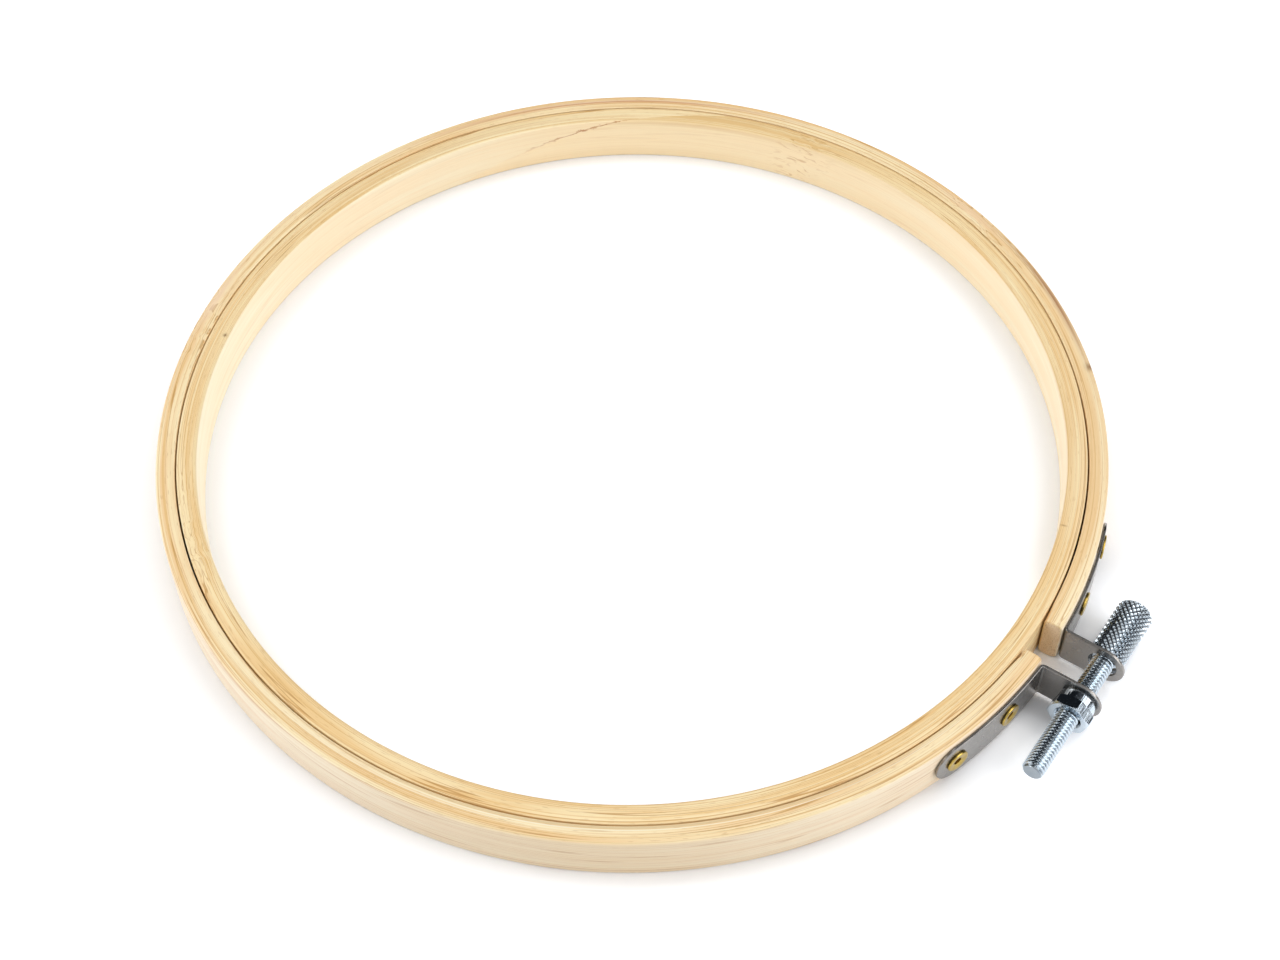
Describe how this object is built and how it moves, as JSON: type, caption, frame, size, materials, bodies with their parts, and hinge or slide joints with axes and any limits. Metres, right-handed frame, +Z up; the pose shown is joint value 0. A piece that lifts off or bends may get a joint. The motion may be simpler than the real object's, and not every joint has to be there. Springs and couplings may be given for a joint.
{
  "type": "embroidery hoop",
  "caption": "Round wooden embroidery hoop: a closed inner ring inside a split outer ring that a knurled thumb screw and nut draw together.",
  "frame": {"origin": "middle of the whole object's footprint, on the surface that the hoop lies on", "axes": "+Z up out of the hoop's plane; the hardware points to -Y; the screw lies along X with its knurled head at +X"},
  "size_m": [0.175, 0.187, 0.0098],
  "materials": {
    "bamboo": "smooth sanded bamboo",
    "bracket_steel": "satin",
    "rivet_brass": "rolled, bright",
    "zinc": "bright zinc plating"
  },
  "bodies": {
    "outer_frame": {"outer_ring": "bamboo", "nut_side_bracket": "bracket_steel", "head_side_bracket": "bracket_steel", "nut_side_rivet_1": "rivet_brass", "nut_side_rivet_2": "rivet_brass", "head_side_rivet_1": "rivet_brass", "head_side_rivet_2": "rivet_brass"},
    "inner_frame": {"inner_ring": "bamboo"},
    "screw": {"thumb_screw": "zinc"},
    "loose_nut": {"nut": "zinc"}
  },
  "joints": [
    {"name": "inner_ring_lift", "type": "slide", "parent": "outer_frame", "child": "inner_frame", "axis": [0, 0, 1], "range_m": [0, 0.03]},
    {"name": "screw_turn", "type": "hinge", "parent": "outer_frame", "child": "screw", "pos_m": [0, -0.08945, 0.0049], "axis": [1, 0, 0], "range_deg": [0, 6120]},
    {"name": "nut_travel", "type": "slide", "parent": "outer_frame", "child": "loose_nut", "axis": [-1, 0, 0], "range_m": [0, 0.0119]}
  ],
  "couplings": [
    {"joint": "screw_turn", "follows": "nut_travel", "rad_per_m": 8975.9}
  ]
}
